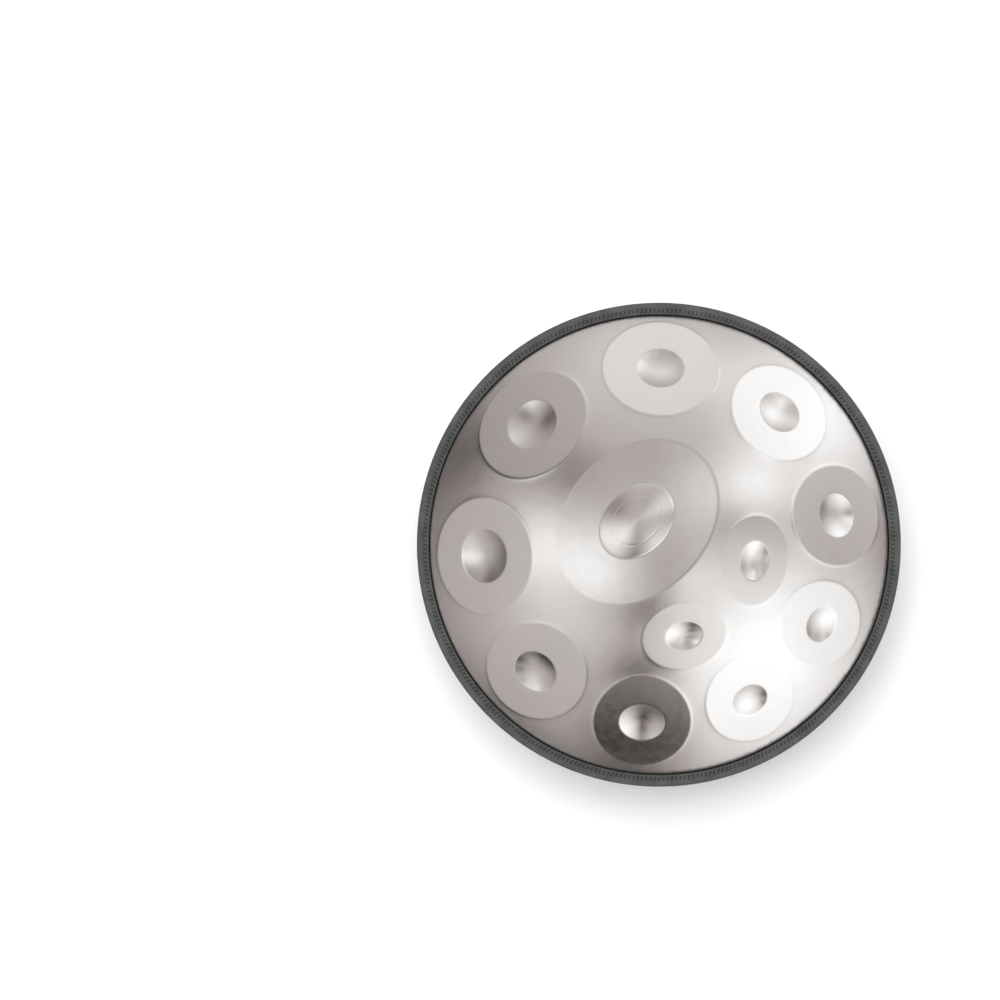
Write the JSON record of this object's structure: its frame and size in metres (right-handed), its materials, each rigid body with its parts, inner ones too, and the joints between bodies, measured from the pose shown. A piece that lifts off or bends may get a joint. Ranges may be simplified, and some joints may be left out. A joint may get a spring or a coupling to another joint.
{
  "type": "handpan",
  "caption": "Round steel handpan: domed upper shell with tone fields and dimples, lower shell with a gu port, push-on edge trim.",
  "frame": {"origin": "on the pan's axis, at the level of the flat land round the gu port on which it rests", "axes": "+Z along the pan's axis out of the ding side; -Y towards the player, where the lowest ring note lies; +X to the player's right"},
  "size_m": [0.56, 0.56, 0.2253],
  "materials": {
    "brushed_steel": "satin, hand-brushed",
    "adhesive": "cured adhesive",
    "black_trim": "matte, fine cross-hatch grain",
    "carrier_steel": "bare strip"
  },
  "bodies": {
    "root": {"top_shell": "brushed_steel", "bottom_shell": "brushed_steel", "bond_ring": "adhesive", "rim_trim": "black_trim", "trim_carrier": "carrier_steel"}
  },
  "joints": []
}
